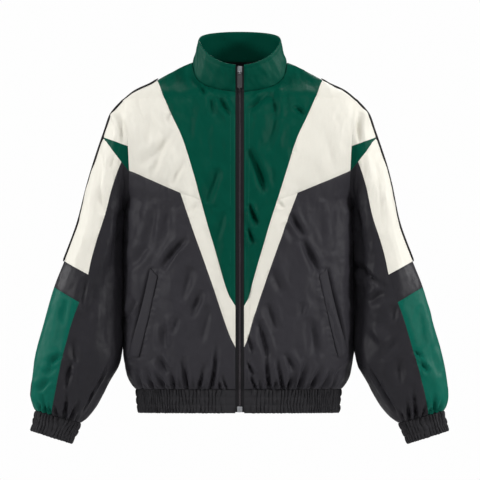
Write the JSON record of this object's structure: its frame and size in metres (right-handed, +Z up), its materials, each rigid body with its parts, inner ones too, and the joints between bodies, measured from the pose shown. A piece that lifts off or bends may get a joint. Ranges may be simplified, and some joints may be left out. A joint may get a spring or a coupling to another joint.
{
  "type": "track jacket",
  "caption": "Zipped track jacket with stand-up collar, colour-blocked panels, ribbed hem band and cuffs, hollow and filled out as if worn, with a hinged zip pull tab.",
  "frame": {"origin": "on the centre line at the height of the side neck, above the middle of the shoulders, where the wearer carries the jacket", "axes": "+X to the wearer's left, -Y out of the front, +Z up"},
  "size_m": [0.8376, 0.2347, 0.8243],
  "materials": {
    "green_cloth": "woven nylon with a soft sheen",
    "forearm_cloth": "woven nylon with a soft sheen",
    "cream_cloth": "woven nylon with a soft sheen",
    "charcoal_cloth": "woven nylon with a soft sheen",
    "ribbed_elastic": "matt, ribbed and stitched",
    "dark_tape": "matt woven tape",
    "metal": "satin",
    "black_enamel": "black enamel, satin"
  },
  "bodies": {
    "jacket": {"front_green_left": "green_cloth", "front_green_right": "green_cloth", "front_chest_left": "cream_cloth", "front_chest_right": "cream_cloth", "front_chevron_left": "cream_cloth", "front_chevron_right": "cream_cloth", "front_lower_left": "charcoal_cloth", "front_lower_right": "charcoal_cloth", "pocket_welt_left": "charcoal_cloth", "pocket_welt_right": "charcoal_cloth", "sleeve_cap_left": "cream_cloth", "sleeve_cap_right": "cream_cloth", "sleeve_insert_left": "green_cloth", "sleeve_insert_right": "green_cloth", "sleeve_stripe_left": "cream_cloth", "sleeve_stripe_right": "cream_cloth", "sleeve_front_left": "charcoal_cloth", "sleeve_front_right": "charcoal_cloth", "sleeve_forearm_left": "forearm_cloth", "sleeve_forearm_right": "forearm_cloth", "sleeve_back_left": "charcoal_cloth", "sleeve_back_right": "charcoal_cloth", "cuff_left": "ribbed_elastic", "cuff_right": "ribbed_elastic", "piping_left": "dark_tape", "piping_right": "dark_tape", "zip_tape_left": "dark_tape", "zip_tape_right": "dark_tape", "back": "charcoal_cloth", "hem_band": "ribbed_elastic", "collar": "green_cloth", "zip_coil": "dark_tape", "zip_retainer": "metal", "zip_slider": "metal"},
    "pull_tab": {"pull_tab": "black_enamel"}
  },
  "joints": [
    {"name": "pull_tab_hinge", "type": "hinge", "parent": "jacket", "child": "pull_tab", "pos_m": [0, -0.08858, -0.014], "axis": [-1, 0, 0], "range_deg": [0, 160]}
  ]
}
